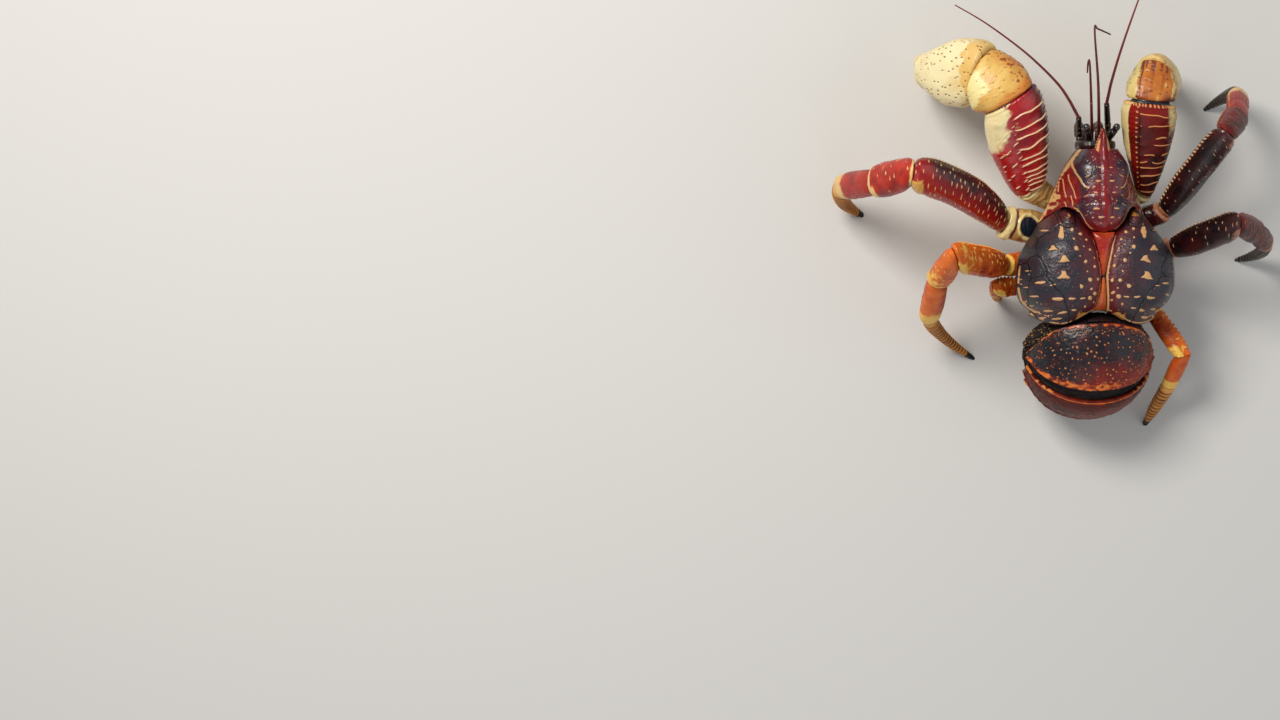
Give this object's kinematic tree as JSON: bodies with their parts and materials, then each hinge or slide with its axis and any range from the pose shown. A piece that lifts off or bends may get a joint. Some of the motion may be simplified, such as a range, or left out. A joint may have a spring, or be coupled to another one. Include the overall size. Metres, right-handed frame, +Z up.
{
  "type": "coconut crab",
  "caption": "Life-size still model of a coconut crab standing on its leg and claw tips, with feelers spread, for display or as scene dressing.",
  "frame": {"origin": "centre of the bounding box in X and Y, on the floor that the leg tips stand on", "axes": "+Z up, -Y the way the crab faces, +X towards the crab's own left, where the larger claw is"},
  "size_m": [0.3084, 0.3202, 0.1399],
  "materials": {
    "shield_shell": "glossy shell, crimson with slate sheen and cream dashes",
    "lobe_shell": "glossy shell, blue-black with cream spots",
    "cardiac_shell": "glossy shell, red-orange",
    "underside_shell": "satin shell, red-brown and cream",
    "face_shell": "satin shell, dark brown",
    "tergite_shell": "glossy shell, dark red-brown with cream dots",
    "abdomen_skin": "leathery granular skin, dark",
    "eye_gloss": "glossy black",
    "eye_stalk": "glossy dark red-brown",
    "feeler": "satin dark red",
    "joint_cream": "satin cream shell",
    "claw_red": "glossy crimson shell with cream ridges",
    "claw_orange": "satin orange shell with dark pits",
    "claw_cream": "satin cream shell with dark pits",
    "leg_red": "glossy crimson shell with cream dashes",
    "leg_orange": "satin orange-red shell",
    "leg_dark": "glossy dark maroon shell with cream tubercles",
    "claw_tip": "horny, tan to black"
  },
  "bodies": {
    "root": {"abdomen_skin": "abdomen_skin", "antenna_flagellum_left": "feeler", "antenna_flagellum_right": "feeler", "antenna_peduncle_left": "feeler", "antenna_peduncle_right": "feeler", "antennule_left": "feeler", "antennule_right": "feeler", "carapace_cardiac": "cardiac_shell", "carapace_lobe_left": "lobe_shell", "carapace_lobe_right": "lobe_shell", "carapace_shield": "shield_shell", "cheliped_left_carpus": "claw_orange", "cheliped_left_dactyl": "claw_cream", "cheliped_left_ischium": "joint_cream", "cheliped_left_merus": "claw_red", "cheliped_left_palm": "claw_cream", "cheliped_right_carpus": "claw_orange", "cheliped_right_dactyl": "claw_cream", "cheliped_right_ischium": "joint_cream", "cheliped_right_merus": "claw_red", "cheliped_right_palm": "claw_cream", "eye_left": "eye_gloss", "eye_right": "eye_gloss", "eye_stalk_left": "eye_stalk", "eye_stalk_right": "eye_stalk", "face": "face_shell", "leg1_left_carpus": "leg_red", "leg1_left_dactyl": "claw_tip", "leg1_left_ischium": "leg_red", "leg1_left_merus": "leg_red", "leg1_left_propodus": "leg_red", "leg1_right_carpus": "leg_dark", "leg1_right_dactyl": "claw_tip", "leg1_right_ischium": "leg_dark", "leg1_right_merus": "leg_dark", "leg1_right_propodus": "leg_dark", "leg2_left_carpus": "leg_orange", "leg2_left_dactyl": "claw_tip", "leg2_left_ischium": "leg_orange", "leg2_left_merus": "leg_orange", "leg2_left_propodus": "leg_orange", "leg2_right_carpus": "leg_dark", "leg2_right_dactyl": "claw_tip", "leg2_right_ischium": "leg_dark", "leg2_right_merus": "leg_dark", "leg2_right_propodus": "leg_dark", "leg3_left_lower": "leg_orange", "leg3_left_upper": "leg_orange", "leg3_right_lower": "leg_orange", "leg3_right_upper": "leg_orange", "maxilliped_left": "face_shell", "maxilliped_right": "face_shell", "tail": "tergite_shell", "tergite_1": "tergite_shell", "tergite_2": "tergite_shell", "tergite_3": "tergite_shell", "tergite_4": "tergite_shell", "tergite_5": "tergite_shell", "thorax": "underside_shell"}
  },
  "joints": []
}
